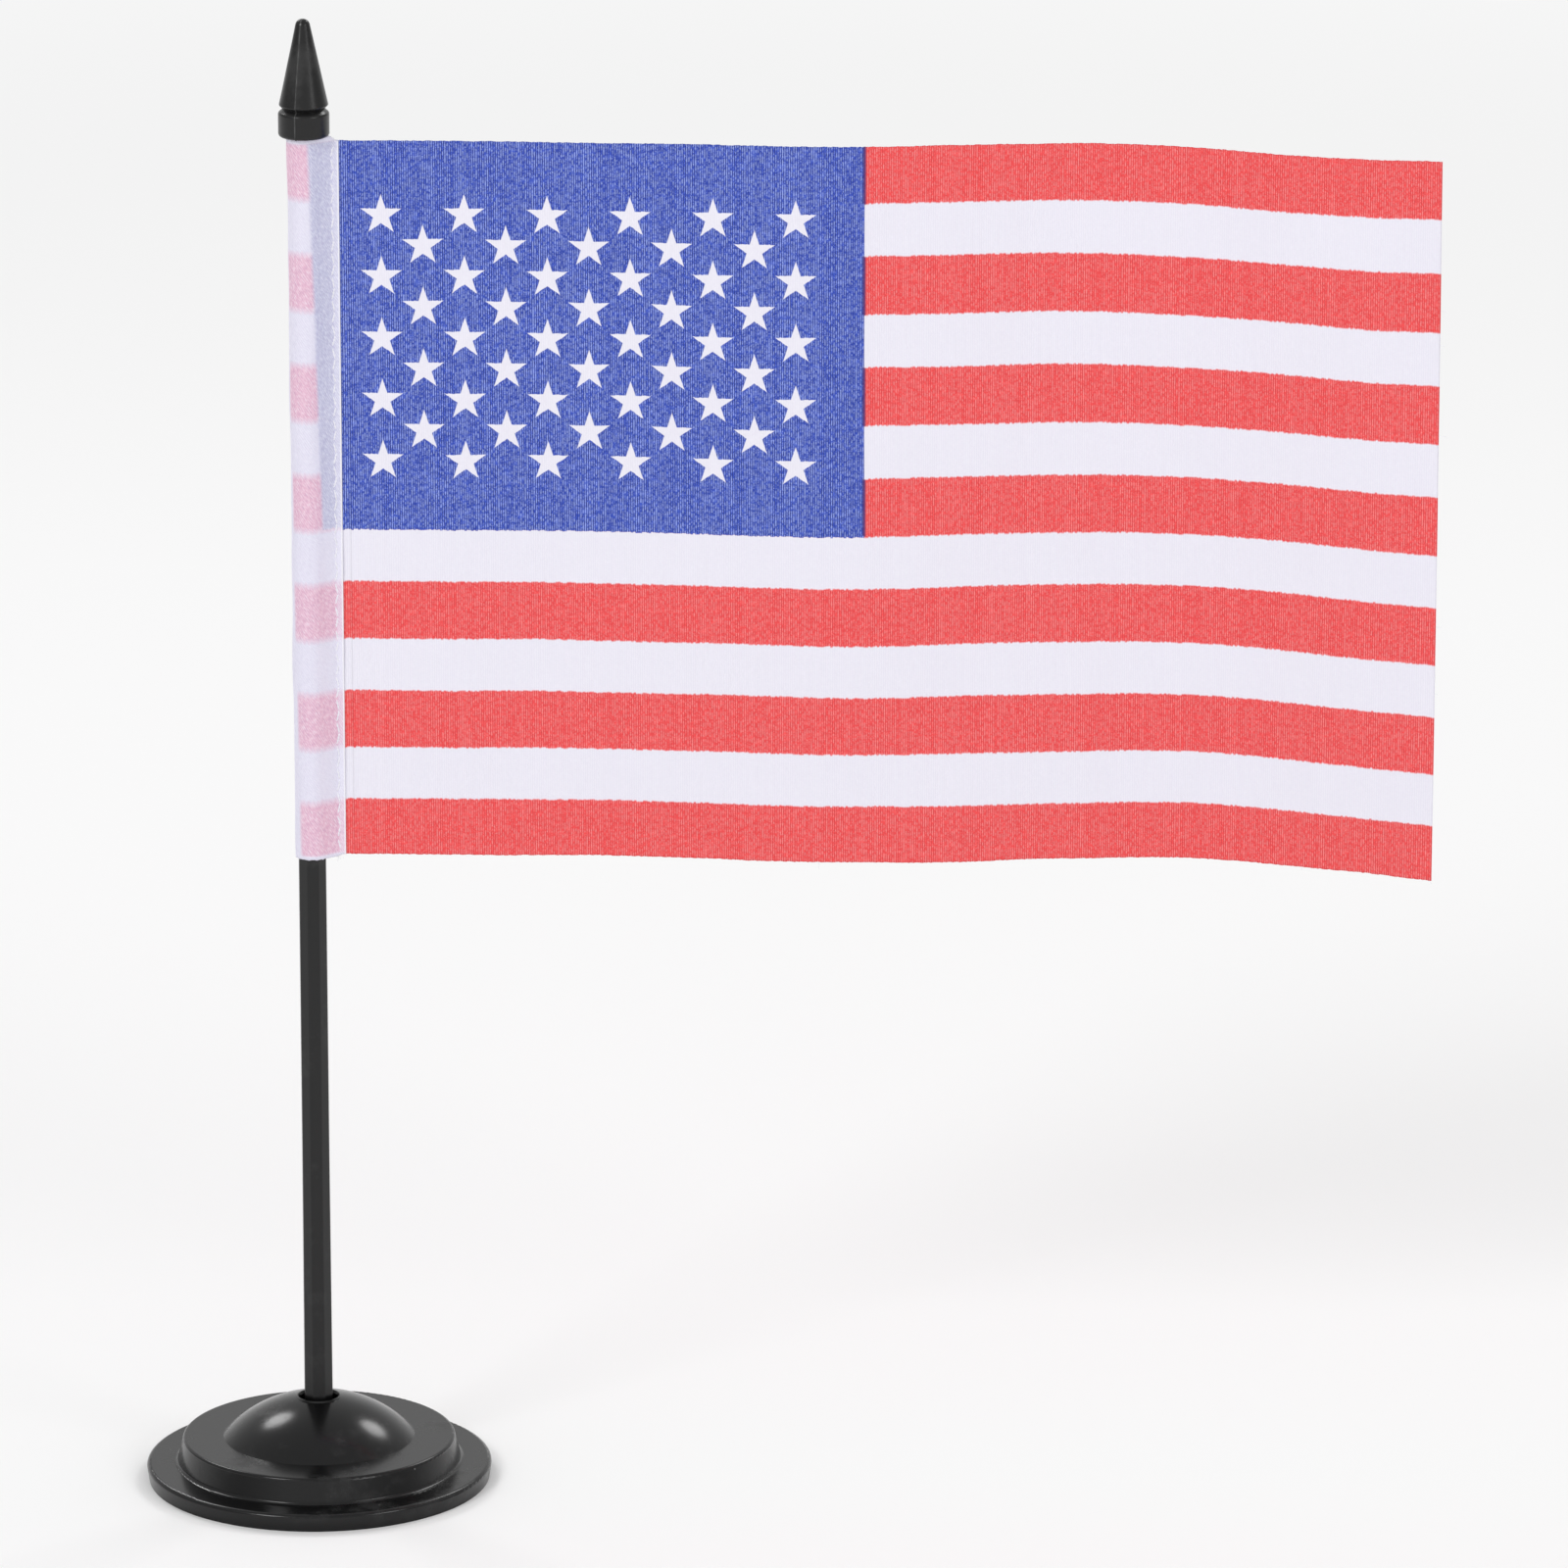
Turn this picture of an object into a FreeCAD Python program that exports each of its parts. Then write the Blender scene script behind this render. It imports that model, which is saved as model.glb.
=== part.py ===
import FreeCAD, Part
import math
import os

# Desk flag stand: a hollow moulded base, a moulded pole with a spear tip that stands in the base's
# socket, and a small printed flag whose sewn sleeve turns on the pole under the collar.
# Millimetres. +Z is up, and the origin is on the pole's axis in the plane that the base rests on.
# The flag flies towards +X and its printed front faces -Y.

UP = FreeCAD.Vector(0, 0, 1)
ORIGIN = FreeCAD.Vector(0, 0, 0)

# Base: flange, step and dome, with the socket in the middle
FLANGE_R = 33.5
FLANGE_H = 3.4
FLANGE_EDGE = 0.8
STEP_FOOT_R = 27.4
STEP_TOP_R = 25.9
STEP_H = 5.0
STEP_EDGE = 0.6
STEP_ROOT = 0.7
DOME_R = 18.6
DOME_H = 8.0
BASE_WALL = 1.8

# Socket: a tapered blind hole with a thin raised rim
SOCKET_RIM_R = 4.2
SOCKET_RIM_H = 0.35
SOCKET_MOUTH_R = 3.75
SOCKET_FLOOR_R = 3.15
SOCKET_FLOOR_Z = 3.6
SOCKET_LEAD = 0.25
BOSS_R = 5.2

# Ribs under the base
RIB_COUNT = 6
RIB_T = 1.2
RIB_LIFT = 1.0

# Pole shaft: an octagon with eased edges, wider at the foot
POLE_LENGTH = 285.6
SHAFT_TOP_AF = 5.11
SHAFT_LOW_AF = 5.20
SHAFT_FOOT_AF = 5.46
SHAFT_LOW_HEIGHT = 60.0
SHAFT_EDGE_R = 0.4
SHAFT_TURN_DEG = 27.0
FOOT_ROUND_R = 2.3
FOOT_FLAT_R = 0.5
FOOT_GAP = 0.05
GATE_R = 0.45
GATE_H = 0.3
GATE_OFFSET = 0.45

# Collar and spear tip, measured down from the tip
TIP_R = 1.25
TIP_FLAT_R = 0.15
CONE_START = 1.0
CONE_LENGTH = 16.3
CONE_BASE_R = 4.65
GROOVE_DEPTH = 17.2
GROOVE_R = 4.0
COLLAR_BOTTOM = 22.5
COLLAR_R = 4.85
COLLAR_EDGE = 0.7
PARTING_DEG = -108.0
PARTING_WIDTH = 0.18
PARTING_RISE = 0.07
PARTING_START_R = 2.9

# Flag cloth
CLOTH_T = 0.2
HOIST = 140.0
STITCH_INSET = 1.8
SLEEVE_BORE_R = 2.9
SEAM_X = 4.7
FLY_FROM_SEAM = 209.6
COLLAR_GAP = 0.8
WAVE_COUNT = 1.75
WAVE_DEPTH = 5.4

# Stitches that close the sleeve
STITCH_PITCH = 2.3
STITCH_R = 0.13
STITCH_LENGTH = 2.1
STITCH_LEAN_DEG = 14.0
STITCH_OUT = 0.45

STEP_Z = FLANGE_H + STEP_H
DOME_BALL_R = (DOME_R ** 2 + DOME_H ** 2) / (2 * DOME_H)
DOME_BALL_Z = STEP_Z + DOME_H - DOME_BALL_R
POLE_FOOT_Z = SOCKET_FLOOR_Z + FOOT_GAP
TIP_Z = POLE_FOOT_Z + POLE_LENGTH
COLLAR_BOTTOM_Z = TIP_Z - COLLAR_BOTTOM
FLAG_TOP_Z = COLLAR_BOTTOM_Z - COLLAR_GAP
FLAG_BOTTOM_Z = FLAG_TOP_Z - HOIST


def point(r, z):
    """A point of a turned profile, in the XZ plane."""
    return FreeCAD.Vector(r, 0, z)


def face_of(start, *steps):
    """A flat face: each step is an end point, or a pair of a middle and an end point for an arc."""
    edges = []
    here = start
    for step in steps:
        if isinstance(step, tuple):
            middle, end = step
            edges.append(Part.Arc(here, middle, end).toShape())
        else:
            end = step
            edges.append(Part.makeLine(here, end))
        here = end
    if (here - start).Length > 1e-7:
        edges.append(Part.makeLine(here, start))
    return Part.Face(Part.Wire(edges))


def turned(face, degrees=360.0):
    """The face turned about the pole's axis."""
    return face.revolve(ORIGIN, UP, degrees)


def round_corner(centre_r, centre_z, radius, start_deg, end_deg):
    """Middle and end points of an arc about a centre, in the XZ plane."""
    spots = []
    for degrees in ((start_deg + end_deg) / 2, end_deg):
        turn = math.radians(degrees)
        spots.append(point(centre_r + radius * math.cos(turn), centre_z + radius * math.sin(turn)))
    return tuple(spots)


def dome_z(r, inset=0.0):
    """Height of the dome, or of a surface a wall's thickness inside it, at a distance from the axis."""
    return DOME_BALL_Z + math.sqrt((DOME_BALL_R - inset) ** 2 - r ** 2)


def base_outside():
    """The base's outer form with its socket, as a solid body."""
    rim_z = dome_z(SOCKET_RIM_R) + SOCKET_RIM_H
    dome_middle_r = (DOME_R + SOCKET_RIM_R) / 2
    profile = face_of(
        point(0, 0),
        point(FLANGE_R - FLANGE_EDGE / 2, 0),
        point(FLANGE_R, FLANGE_H - FLANGE_EDGE),
        round_corner(FLANGE_R - FLANGE_EDGE, FLANGE_H - FLANGE_EDGE, FLANGE_EDGE, 0, 90),
        point(STEP_FOOT_R + STEP_ROOT, FLANGE_H),
        round_corner(STEP_FOOT_R + STEP_ROOT, FLANGE_H + STEP_ROOT, STEP_ROOT, 270, 180),
        point(STEP_TOP_R + STEP_EDGE, STEP_Z - STEP_EDGE),
        round_corner(STEP_TOP_R, STEP_Z - STEP_EDGE, STEP_EDGE, 0, 90),
        point(DOME_R, STEP_Z),
        (point(dome_middle_r, dome_z(dome_middle_r)), point(SOCKET_RIM_R, dome_z(SOCKET_RIM_R))),
        point(SOCKET_RIM_R - 0.08, rim_z),
        point(SOCKET_MOUTH_R + SOCKET_LEAD, rim_z),
        point(SOCKET_MOUTH_R, rim_z - 2 * SOCKET_LEAD),
        point(SOCKET_FLOOR_R, SOCKET_FLOOR_Z),
        point(0, SOCKET_FLOOR_Z),
    )
    return turned(profile)


def base_hollow():
    """The space under the base, crossed by its ribs."""
    inner_flange_z = FLANGE_H - BASE_WALL
    inner_step_z = STEP_Z - BASE_WALL
    inner_ball_r = DOME_BALL_R - BASE_WALL
    crease_r = math.sqrt(inner_ball_r ** 2 - (inner_step_z - DOME_BALL_Z) ** 2)
    middle_r = (crease_r + BOSS_R) / 2
    profile = face_of(
        point(BOSS_R, -1),
        point(FLANGE_R - BASE_WALL, -1),
        point(FLANGE_R - BASE_WALL, inner_flange_z),
        point(STEP_FOOT_R - BASE_WALL, inner_flange_z),
        point(STEP_TOP_R - BASE_WALL, inner_step_z),
        point(crease_r, inner_step_z),
        (point(middle_r, dome_z(middle_r, BASE_WALL)), point(BOSS_R, dome_z(BOSS_R, BASE_WALL))),
    )
    hollow = turned(profile)
    for number in range(RIB_COUNT):
        rib = Part.makeBox(FLANGE_R, RIB_T, STEP_Z + DOME_H, FreeCAD.Vector(0, -RIB_T / 2, RIB_LIFT))
        rib.rotate(ORIGIN, UP, 360.0 / RIB_COUNT * (number + 0.5))
        hollow = hollow.cut(rib)
    return hollow


def base():
    """The hollow stepped base in one moulding."""
    return base_outside().cut(base_hollow())


def octagon(across_flats, z):
    """An octagon with eased corners, as a closed wire of eight flats and eight arcs."""
    inner = across_flats / 2 - SHAFT_EDGE_R
    corner_r = inner / math.cos(math.radians(22.5))
    edges = []
    for number in range(8):
        corner_deg = SHAFT_TURN_DEG + 45.0 * number
        corner = FreeCAD.Vector(corner_r, 0, z)
        spots = []
        for swing in (-22.5, 0.0, 22.5):
            turn = math.radians(swing)
            spots.append(corner + FreeCAD.Vector(math.cos(turn), math.sin(turn), 0) * SHAFT_EDGE_R)
        arc = Part.Arc(*spots).toShape()
        arc.rotate(ORIGIN, UP, corner_deg)
        if edges:
            edges.append(Part.makeLine(edges[-1].Vertexes[-1].Point, arc.Vertexes[0].Point))
        edges.append(arc)
    edges.append(Part.makeLine(edges[-1].Vertexes[-1].Point, edges[0].Vertexes[0].Point))
    return Part.Wire(edges)


def shaft():
    """The octagonal shaft from its rounded foot up into the collar."""
    top_z = COLLAR_BOTTOM_Z + COLLAR_EDGE
    sections = [
        octagon(SHAFT_FOOT_AF, POLE_FOOT_Z),
        octagon(SHAFT_LOW_AF, POLE_FOOT_Z + SHAFT_LOW_HEIGHT),
        octagon(SHAFT_TOP_AF, top_z),
    ]
    body = Part.makeLoft(sections, True, True)
    envelope_r = FOOT_FLAT_R + FOOT_ROUND_R
    foot_centre_z = POLE_FOOT_Z + GATE_H + FOOT_ROUND_R
    envelope = turned(face_of(
        point(0, POLE_FOOT_Z + GATE_H),
        point(FOOT_FLAT_R, POLE_FOOT_Z + GATE_H),
        round_corner(FOOT_FLAT_R, foot_centre_z, FOOT_ROUND_R, 270, 360),
        point(envelope_r + 1.0, foot_centre_z + FOOT_ROUND_R),
        point(envelope_r + 1.0, top_z),
        point(0, top_z),
    ))
    gate = Part.makeCylinder(GATE_R, FOOT_ROUND_R, FreeCAD.Vector(-GATE_OFFSET, 0, POLE_FOOT_Z))
    return body.common(envelope).fuse(gate)


def finial_profile(rise=0.0):
    """Half the outline of the collar and the spear tip, or of the parting ridge that stands proud of it."""
    cone_base_z = TIP_Z - CONE_LENGTH
    groove_z = TIP_Z - GROOVE_DEPTH
    cone_start_deg = math.degrees(math.acos(1.0 - CONE_START / TIP_R))
    cone_start_r = TIP_FLAT_R + TIP_R * math.sin(math.radians(cone_start_deg))
    return face_of(
        point(0, COLLAR_BOTTOM_Z),
        point(COLLAR_R - COLLAR_EDGE, COLLAR_BOTTOM_Z - rise),
        round_corner(COLLAR_R - COLLAR_EDGE, COLLAR_BOTTOM_Z + COLLAR_EDGE, COLLAR_EDGE + rise, -90, 0),
        point(COLLAR_R + rise, groove_z - 1.5 * COLLAR_EDGE),
        round_corner(COLLAR_R - COLLAR_EDGE, groove_z - 1.5 * COLLAR_EDGE, COLLAR_EDGE + rise, 0, 60),
        point(GROOVE_R + rise, groove_z),
        point(CONE_BASE_R - 0.25 + rise, cone_base_z - 0.35),
        (point(CONE_BASE_R - 0.04 + rise, cone_base_z - 0.18), point(CONE_BASE_R + rise, cone_base_z)),
        point(cone_start_r + rise, TIP_Z - CONE_START),
        round_corner(TIP_FLAT_R, TIP_Z - TIP_R, TIP_R + rise, 90 - cone_start_deg, 90),
        point(0, TIP_Z + rise),
    )


def finial():
    """The collar and the spear tip, with the mould's parting line raised on both sides."""
    body = turned(finial_profile())
    corner = FreeCAD.Vector(-PARTING_START_R, -PARTING_START_R, POLE_FOOT_Z)
    middle = Part.makeBox(2 * PARTING_START_R, 2 * PARTING_START_R, 2 * POLE_LENGTH, corner)
    for side in (0.0, 180.0):
        ridge = finial_profile(PARTING_RISE).cut(middle).extrude(FreeCAD.Vector(0, PARTING_WIDTH, 0))
        ridge.translate(FreeCAD.Vector(0, -PARTING_WIDTH / 2, 0))
        ridge.rotate(ORIGIN, UP, PARTING_DEG + side)
        body = body.fuse(ridge)
    return body


def pole():
    """The pole in one moulding."""
    return shaft().fuse(finial()).removeSplitter()


def over_hoist(face):
    """A flat section of the flag carried up over the whole hoist."""
    return face.extrude(UP * HOIST)


def flat_point(x, y):
    """A point of a flag section, at the flag's bottom edge."""
    return FreeCAD.Vector(x, y, FLAG_BOTTOM_Z)


def teardrop(radius):
    """A section that wraps the pole and closes to a point at the seam."""
    turn = math.acos(SLEEVE_BORE_R / SEAM_X)
    point_x = SEAM_X * radius / SLEEVE_BORE_R
    back = flat_point(radius * math.cos(turn), radius * math.sin(turn))
    front = flat_point(back.x, -back.y)
    return face_of(flat_point(point_x, 0), back, (flat_point(-radius, 0), front))


def flag_sleeve():
    """The cloth folded round the pole, and the turned end that is stitched down on the front."""
    wrap = teardrop(SLEEVE_BORE_R + CLOTH_T).cut(teardrop(SLEEVE_BORE_R))
    inner_y = -CLOTH_T / 2
    outer_y = inner_y - CLOTH_T
    end = face_of(
        flat_point(SEAM_X, inner_y),
        flat_point(SEAM_X + STITCH_INSET, inner_y),
        flat_point(SEAM_X + STITCH_INSET, outer_y),
        flat_point(SEAM_X, outer_y),
    )
    return over_hoist(wrap).fuse(over_hoist(end)).removeSplitter()


def wave_y(along):
    """Sideways place of the cloth at a distance from the seam: flat at the seam, waving more to the fly."""
    share = along / FLY_FROM_SEAM
    return WAVE_DEPTH * share ** 1.3 * math.sin(2 * math.pi * WAVE_COUNT * share)


def flag_panel():
    """The waving cloth from the seam to the fly edge."""
    count = 24
    sides = []
    for offset in (-CLOTH_T / 2, CLOTH_T / 2):
        spots = []
        for number in range(count + 1):
            along = FLY_FROM_SEAM * number / count
            spots.append(flat_point(SEAM_X + along, wave_y(along) + offset))
        curve = Part.BSplineCurve()
        curve.interpolate(spots)
        sides.append(curve.toShape())
    front, back = sides
    fly = Part.makeLine(front.Vertexes[-1].Point, back.Vertexes[-1].Point)
    seam = Part.makeLine(back.Vertexes[0].Point, front.Vertexes[0].Point)
    section = Part.Face(Part.Wire([front, fly, back, seam]))
    return over_hoist(section)


def sleeve_stitching():
    """The row of stitches that closes the sleeve, as separate short threads on the front."""
    stitches = []
    count = int(HOIST / STITCH_PITCH)
    start_z = FLAG_BOTTOM_Z + (HOIST - (count - 1) * STITCH_PITCH) / 2
    y = -1.5 * CLOTH_T - STITCH_R
    for number in range(count):
        z = start_z + number * STITCH_PITCH
        stitch = Part.makeCylinder(STITCH_R, STITCH_LENGTH, FreeCAD.Vector(0, 0, -STITCH_LENGTH / 2))
        stitch.rotate(ORIGIN, FreeCAD.Vector(0, 1, 0), STITCH_LEAN_DEG * (-1) ** number)
        stitch.translate(FreeCAD.Vector(SEAM_X + STITCH_OUT, y, z))
        stitches.append(stitch)
    return Part.makeCompound(stitches)


def save(name, shape):
    """Writes one node and says what it is."""
    shape.exportStep("parts/" + name + ".step")
    print(name, "valid", shape.isValid(), "solids", len(shape.Solids), "mm3", round(shape.Volume, 1))


os.makedirs("parts", exist_ok=True)
sleeve = flag_sleeve()
save("base", base())
save("pole", pole())
save("flag_sleeve", sleeve)
save("flag_panel", flag_panel().cut(sleeve))
save("sleeve_stitching", sleeve_stitching())
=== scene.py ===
import math
import random

import bpy
import numpy as np
from bpy.props import FloatProperty, FloatVectorProperty, PointerProperty
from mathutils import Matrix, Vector, noise


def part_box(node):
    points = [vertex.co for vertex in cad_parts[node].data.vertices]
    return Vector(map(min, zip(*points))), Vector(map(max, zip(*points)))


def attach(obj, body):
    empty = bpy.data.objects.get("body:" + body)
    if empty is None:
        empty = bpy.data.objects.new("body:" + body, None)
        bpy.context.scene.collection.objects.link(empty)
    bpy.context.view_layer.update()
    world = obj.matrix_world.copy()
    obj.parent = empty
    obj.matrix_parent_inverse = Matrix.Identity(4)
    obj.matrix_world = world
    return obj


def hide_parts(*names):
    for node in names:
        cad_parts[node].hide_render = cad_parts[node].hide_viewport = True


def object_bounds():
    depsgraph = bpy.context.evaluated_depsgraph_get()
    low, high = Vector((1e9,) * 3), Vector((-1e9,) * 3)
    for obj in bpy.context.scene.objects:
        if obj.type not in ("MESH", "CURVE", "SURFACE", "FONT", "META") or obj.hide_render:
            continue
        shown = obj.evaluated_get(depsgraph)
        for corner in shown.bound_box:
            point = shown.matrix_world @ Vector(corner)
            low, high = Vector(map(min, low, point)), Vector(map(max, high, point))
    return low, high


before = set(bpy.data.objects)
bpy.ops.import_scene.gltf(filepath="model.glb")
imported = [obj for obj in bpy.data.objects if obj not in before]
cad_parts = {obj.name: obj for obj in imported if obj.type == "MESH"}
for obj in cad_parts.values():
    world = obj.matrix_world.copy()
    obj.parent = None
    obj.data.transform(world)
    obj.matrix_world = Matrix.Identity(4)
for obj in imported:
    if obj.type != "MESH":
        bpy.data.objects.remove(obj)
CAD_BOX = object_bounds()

bl_info = {
    "name": "Desk flag stand",
    "version": (1, 0, 0),
    "blender": (4, 5, 0),
    "location": "View3D > Sidebar > Desk flag",
    "description": "Builds the cloth, stitches and finishes of a small desk flag stand around its CAD parts",
    "category": "Object",
}

MM = 0.001

# Places that the CAD parts in model.glb give, in metres
_, SLEEVE_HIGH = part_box("flag_sleeve")
PANEL_LOW, PANEL_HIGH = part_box("flag_panel")
STITCH_LOW, STITCH_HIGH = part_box("sleeve_stitching")
FLAG_BOTTOM = PANEL_LOW.z
HOIST = PANEL_HIGH.z - PANEL_LOW.z
FLY_X = PANEL_HIGH.x
CUT_EDGE_X = SLEEVE_HIGH.x
STITCH_X = (STITCH_LOW.x + STITCH_HIGH.x) / 2
STITCH_INSET = CUT_EDGE_X - STITCH_X

# The painted highlight down the parting line of the pole's tip and collar: its direction, half its width and
# its lower end
PARTING_TURN = math.radians(-108.0)
PARTING_HALF = 0.13 * MM
PARTING_LOW = SLEEVE_HIGH.z

# The print, in millimetres. RED_SHARE is half a red stripe's width in stripes.
STRIPES = 13
STRIPE = HOIST / MM / STRIPES
STRIPE_SOFTNESS = 0.03
RED_SHARE = 0.526
CANTON_STRIPES = 7
CANTON_WIDTH = 98.7
CANTON_LEFT = -6.0
CANTON_SPREAD = 0.35
PRINT_EDGE = 0.1
STAR_RADIUS = 4.05
STAR_EDGE = 0.12
STAR_STEP_X = 15.6
STAR_STEP_Y = 11.94
STAR_FIRST_X = 7.8
STAR_FIRST_Y = 14.4
STAR_COLUMNS = 6
STAR_ROWS = 5

# Painted light on the printed front's ribs: the painted highlight colour of their crowns and the painted
# shade colour of the gaps between them
RED_RIB_HIGHLIGHT_AND_SHADE = ((0.90, 0.33, 0.33), (0.66, 0.045, 0.05))
BLUE_RIB_HIGHLIGHT_AND_SHADE = ((0.43, 0.53, 0.93), (0.004, 0.008, 0.14))
WHITE_RIB_HIGHLIGHT_AND_SHADE = ((0.88, 0.865, 0.94), (0.79, 0.77, 0.87))
RED_UNDER_BLUE = (0.06, 0.02, 0.14)

# The paler back of the print, with the painted highlight and painted shade colours of its ribs
BACK_RED = (0.80, 0.13, 0.15)
BACK_RED_RIB_HIGHLIGHT_AND_SHADE = ((0.88, 0.33, 0.32), (0.60, 0.07, 0.09))
BACK_BLUE = (0.085, 0.125, 0.46)
BACK_BLUE_RIB_HIGHLIGHT_AND_SHADE = ((0.30, 0.36, 0.75), (0.03, 0.035, 0.24))

# The turned end, where the print under it shows through
TURNED_CLOTH = (0.79, 0.77, 0.90)
RED_THROUGH = (0.82, 0.46, 0.60)
BLUE_THROUGH = (0.555, 0.565, 0.755)
# The twill: the colour of a painted highlight on its ridges, the colour of painted shade between them, its
# lean and its pitch
TWILL_HIGHLIGHT = (0.90, 0.89, 0.97)
TWILL_SHADE = (0.44, 0.38, 0.56)
TWILL_LEAN = 0.62
TWILL_PITCH = 0.44
HEM_COLOUR = (0.84, 0.83, 0.94)
MELTED_COLOUR = (0.93, 0.92, 0.97)
MELTED_WIDTH = 0.28

# The melted rim, and the shaded side of the sewing thread
MELTED_RIM = (0.90, 0.89, 0.95)
THREAD_SHADE = (0.80, 0.79, 0.88)

# Small disturbances of the cloth, in millimetres
EDGE_NICK = 0.07
SLEEVE_SLACK = 0.10
SLEEVE_SWELL = 0.22
SEAM_PUCKER = 0.05
CUT_EDGE_LIFT = 0.16
SAG_RIPPLE = 0.9

# The cloth's grid, and how far past the cut edge its panel starts, in millimetres
CLOTH_ROWS = 64
ARC_POINTS = 160
SECTION_POINTS = 600
SMOOTHING_PASSES = 30
PANEL_START = 1.5

# How far the stitches lean to either side, in millimetres
FRONT_LEAN = 0.26
BACK_LEAN = 0.07

# The softboxes: name, place, width in metres and power in watts
SOFTBOXES = (
    ("key_softbox", (-0.85, -1.15, 1.15), 0.55, 7.1),
    ("fill_softbox", (1.15, -0.95, 0.85), 0.55, 3.5),
    ("rear_left_softbox", (-0.62, 0.94, 1.15), 0.42, 3.5),
    ("rear_right_softbox", (0.80, 0.90, 1.15), 0.42, 3.5),
)


# ---------------------------------------------------------------------------------------------
# Sizes and colours
# ---------------------------------------------------------------------------------------------

def length(name, description, default):
    """A size in metres."""
    return FloatProperty(name=name, description=description, default=default, unit="LENGTH", precision=5)


def share_of_one(name, description, default):
    """A number from 0 to 1."""
    return FloatProperty(
        name=name, description=description, default=default, subtype="FACTOR", min=0.0, max=1.0)


def colour(name, description, default):
    """A linear colour."""
    return FloatVectorProperty(
        name=name, description=description, default=default, subtype="COLOR", size=3, min=0.0, max=1.0)


class FlagSizes(bpy.types.PropertyGroup):
    """Sizes of the flag's cloth, print and stitches."""
    cloth: length("Cloth", "Thickness of the cloth", 0.18 * MM)
    sleeve_flat: length("Sleeve", "Width of the sleeve when it lies flat", 12.2 * MM)
    stitch_inset: length("Stitch inset", "From the turned end's cut edge to the seam", STITCH_INSET)
    visible_fly: length("Fly", "Printed length beyond the sleeve's cut edge", 208.0 * MM)
    wave_depth: length("Wave depth", "Depth of the waves at the fly edge", 5.4 * MM)
    wave_count: FloatProperty(
        name="Waves", description="Waves between the seam and the fly", default=1.75, subtype="UNSIGNED")
    droop: length("Droop", "How far the fly edge hangs down", 3.6 * MM)
    crumple: length("Crumple", "Depth of the cloth's small dents", 0.9 * MM)
    strip_rise: length("Strip rise", "How far the turned end stands above the flag's top edge", 1.0 * MM)
    rib: length("Rib", "Pitch of the cloth's ribs", 0.42 * MM)
    stitch_pitch: length("Stitch pitch", "From one stitch to the next", 2.3 * MM)
    thread: length("Thread", "Thickness of the sewing thread", 0.38 * MM)


class FlagColours(bpy.types.PropertyGroup):
    """Colours of the cloth, the print and the mouldings."""
    white: colour("White", "Unprinted cloth", (0.84, 0.82, 0.91))
    red: colour("Red", "Stripes", (0.92, 0.080, 0.083))
    blue: colour("Blue", "Canton", (0.043, 0.092, 0.56))
    thread: colour("Thread", "Sewing thread", (0.94, 0.94, 0.97))
    base: colour("Base", "The base's plastic", (0.0028, 0.0028, 0.0030))
    pole: colour("Pole", "The pole's plastic", (0.0050, 0.0050, 0.0052))
    floor: colour("Floor", "The floor under the stand", (0.96, 0.96, 0.96))


class StageSizes(bpy.types.PropertyGroup):
    """The camera and the floor."""
    distance: length("Camera distance", "From the camera to the middle of the stand", 2.2)
    elevation: FloatProperty(
        name="Elevation", description="The camera's height as an angle",
        default=math.radians(16.0), unit="ROTATION")
    view: length("View", "Width of what the camera sees at the stand", 0.300)
    floor: length("Floor", "Half of the floor's width", 40.0)
    haze: length("Haze", "Where the floor starts to fade into the backdrop", 0.7)
    walls: share_of_one("Walls", "Brightness of the studio's walls", 0.92)
    sides: share_of_one("Sides", "Brightness of the walls beside the stand", 0.40)
    ceiling: share_of_one("Ceiling", "Brightness of the studio's ceiling", 0.62)


# ---------------------------------------------------------------------------------------------
# Shader expressions
# ---------------------------------------------------------------------------------------------

class Wire:
    """A socket of a material's nodes. Arithmetic on it adds Math nodes."""

    def __init__(self, tree, socket):
        self.tree = tree
        self.socket = socket

    def math(self, operation, first, second=0.0, clamp=False):
        """One Math node."""
        settings = {"operation": operation, "use_clamp": clamp}
        return self.tree.node("ShaderNodeMath", settings, {0: first, 1: second})

    def __add__(self, other):
        return self.math("ADD", self, other)

    def __radd__(self, other):
        return self.math("ADD", other, self)

    def __sub__(self, other):
        return self.math("SUBTRACT", self, other)

    def __rsub__(self, other):
        return self.math("SUBTRACT", other, self)

    def __mul__(self, other):
        return self.math("MULTIPLY", self, other)

    def __rmul__(self, other):
        return self.math("MULTIPLY", other, self)

    def __truediv__(self, other):
        return self.math("DIVIDE", self, other)

    def __mod__(self, other):
        return self.math("FLOORED_MODULO", self, other)

    def __pow__(self, other):
        return self.math("POWER", self, other)

    def __lt__(self, other):
        return self.math("LESS_THAN", self, other)

    def __gt__(self, other):
        return self.math("GREATER_THAN", self, other)

    def __abs__(self):
        return self.math("ABSOLUTE", self)

    def floor(self):
        """The whole number below the value."""
        return self.math("FLOOR", self)

    def clamped(self):
        """The value kept between 0 and 1."""
        return self.math("ADD", self, 0.0, clamp=True)

    def saw(self, pitch):
        """0 to 1 over each pitch."""
        return (self / pitch) % 1.0

    def ridges(self, pitch):
        """1 in the middle of each pitch, 0 between them."""
        return 1.0 - abs(self.saw(pitch) * 2.0 - 1.0)

    def above(self, limit, gain):
        """How far the value is over the limit, times a gain."""
        return (self - limit).clamped() * gain

    def contrast(self, gain, middle):
        """The value stretched about one half, and kept between 0 and 1."""
        return ((self - 0.5) * gain + middle).clamped()

    def below(self, limit, softness):
        """1 where the value is under the limit, 0 above it, with an edge that soft."""
        return ((limit - self) / softness + 0.5).clamped()


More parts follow.
